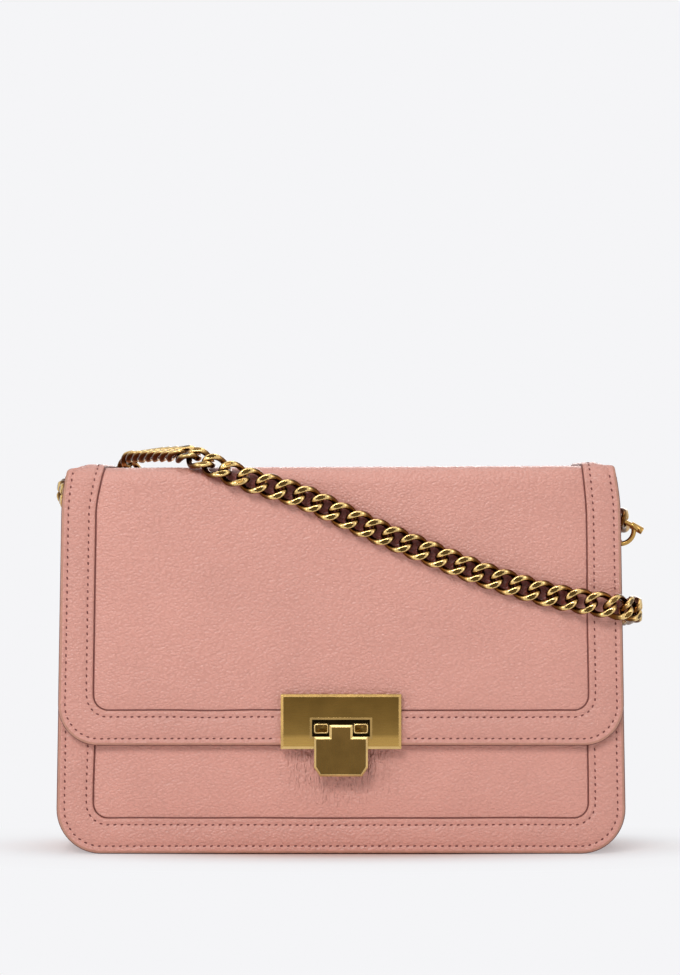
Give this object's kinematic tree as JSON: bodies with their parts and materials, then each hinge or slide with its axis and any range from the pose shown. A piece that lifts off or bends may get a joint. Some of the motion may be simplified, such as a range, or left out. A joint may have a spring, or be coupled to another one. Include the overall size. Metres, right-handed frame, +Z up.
{
  "type": "chain shoulder bag",
  "caption": "Boxy leather shoulder bag with stitched bands, a hinged flap with a flip lock, and a curb chain lying across its front and hanging in a loop behind.",
  "frame": {"origin": "middle of the base, on the surface the bag stands on", "axes": "+X along the front, towards the side where the chain wraps round; +Y from front to back; +Z up"},
  "size_m": [0.2769, 0.0993, 0.1849],
  "materials": {
    "leather": "pebbled",
    "band_leather": "fine grain, stitched",
    "lining": "woven",
    "board": "bonded fibre board",
    "chain_gold": "antique, ground flats",
    "lock_gold": "brushed antique",
    "magnet": "nickel plated"
  },
  "bodies": {
    "bag": {"front_panel": "leather", "front_frame": "band_leather", "front_board": "board", "front_lining": "lining", "back_panel": "leather", "back_board": "board", "back_lining": "lining", "gusset_left": "leather", "gusset_right": "leather", "gusset_lining_left": "lining", "gusset_lining_right": "lining", "base_panel": "leather", "base_board": "board", "base_lining": "lining", "tab_left": "leather", "tab_right": "leather", "lock_catch": "lock_gold", "lock_magnet": "magnet", "chain_back_left": "chain_gold", "chain_back_right": "chain_gold", "end_link_left": "chain_gold", "end_link_right": "chain_gold"},
    "flap": {"flap_panel": "leather", "flap_frame": "band_leather", "flap_board": "board", "flap_lining": "lining", "lock_plate": "lock_gold", "lock_back_plate": "lock_gold", "lock_pin": "lock_gold", "lock_screws": "lock_gold", "chain_front": "chain_gold"},
    "lever": {"lock_lever": "lock_gold"},
    "left_ring": {"ring_left": "lock_gold", "ring_pin_left": "lock_gold"},
    "right_ring": {"ring_right": "lock_gold", "ring_pin_right": "lock_gold"}
  },
  "joints": [
    {"name": "flap_hinge", "type": "hinge", "parent": "bag", "child": "flap", "pos_m": [0, 0.0354, 0.1769], "axis": [-1, 0, 0], "range_deg": [0, 110]},
    {"name": "lever_hinge", "type": "hinge", "parent": "flap", "child": "lever", "pos_m": [0, -0.04312, 0.05802], "axis": [-1, 0, 0], "range_deg": [0, 90]},
    {"name": "left_ring_hinge", "type": "hinge", "parent": "bag", "child": "left_ring", "pos_m": [-0.11572, 0, 0.16351], "axis": [0, 0, 1], "range_deg": [-2, 3]},
    {"name": "right_ring_hinge", "type": "hinge", "parent": "bag", "child": "right_ring", "pos_m": [0.12757, 0, 0.14197], "axis": [0.8763, 0, -0.4818], "range_deg": [-6, 3]}
  ]
}
